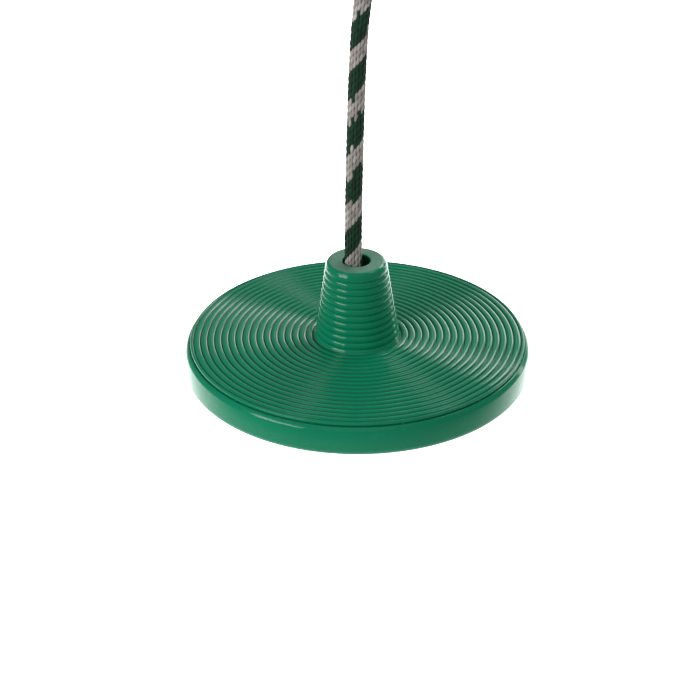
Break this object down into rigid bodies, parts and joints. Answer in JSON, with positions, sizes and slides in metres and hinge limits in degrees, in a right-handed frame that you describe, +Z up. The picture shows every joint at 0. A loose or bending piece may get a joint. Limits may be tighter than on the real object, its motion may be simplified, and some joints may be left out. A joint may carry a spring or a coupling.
{
  "type": "disc swing",
  "caption": "Round moulded disc seat with a ribbed cone hub, hung on one braided rope from a swivelling snap hook.",
  "frame": {"origin": "inside top of the snap hook's bow, where the bar that carries the swing touches it", "axes": "+Z up along the rope, away from the seat; +Y through the hook's throat; +X towards the gate"},
  "size_m": [0.305, 0.305, 0.7009],
  "materials": {
    "seat_plastic": "satin",
    "rope_fibre": "braided",
    "sleeve_black": "matt",
    "zinc_steel": "zinc plated",
    "ferrule_aluminium": "pressed",
    "spring_steel": "drawn"
  },
  "bodies": {
    "hook": {"hook_body": "zinc_steel", "gate_pin": "zinc_steel"},
    "gate": {"hook_gate": "zinc_steel", "latch_pin": "zinc_steel", "gate_plunger": "zinc_steel", "gate_spring": "spring_steel"},
    "swivel": {"swivel_eye": "zinc_steel", "swivel_washer": "zinc_steel", "swivel_nut": "zinc_steel"},
    "line": {"thimble": "zinc_steel", "ferrule": "ferrule_aluminium", "rope": "rope_fibre", "stopper_knot": "rope_fibre", "rope_tail": "rope_fibre", "tail_end_band": "sleeve_black", "short_end_band": "sleeve_black"},
    "washer": {"load_washer": "zinc_steel"},
    "seat": {"seat": "seat_plastic"}
  },
  "joints": [
    {"name": "gate_open", "type": "hinge", "parent": "hook", "child": "gate", "pos_m": [0.0175, 0, -0.052], "axis": [0, -1, 0], "range_deg": [0, 25], "stiffness_Nm_per_rad": 0.25, "springref_deg": -28.65},
    {"name": "swivel_spin", "type": "hinge", "parent": "hook", "child": "swivel", "pos_m": [0, 0, -0.06], "axis": [0, 0, 1], "continuous": true},
    {"name": "rope_swing", "type": "hinge", "parent": "swivel", "child": "line", "pos_m": [0, 0, -0.113], "axis": [0, 1, 0], "range_deg": [-60, 60]},
    {"name": "washer_spin", "type": "hinge", "parent": "line", "child": "washer", "pos_m": [0, 0, -0.6098], "axis": [0, 0, 1], "continuous": true},
    {"name": "seat_lift", "type": "slide", "parent": "washer", "child": "seat", "axis": [0, 0, 1], "range_m": [0, 0.2]}
  ]
}
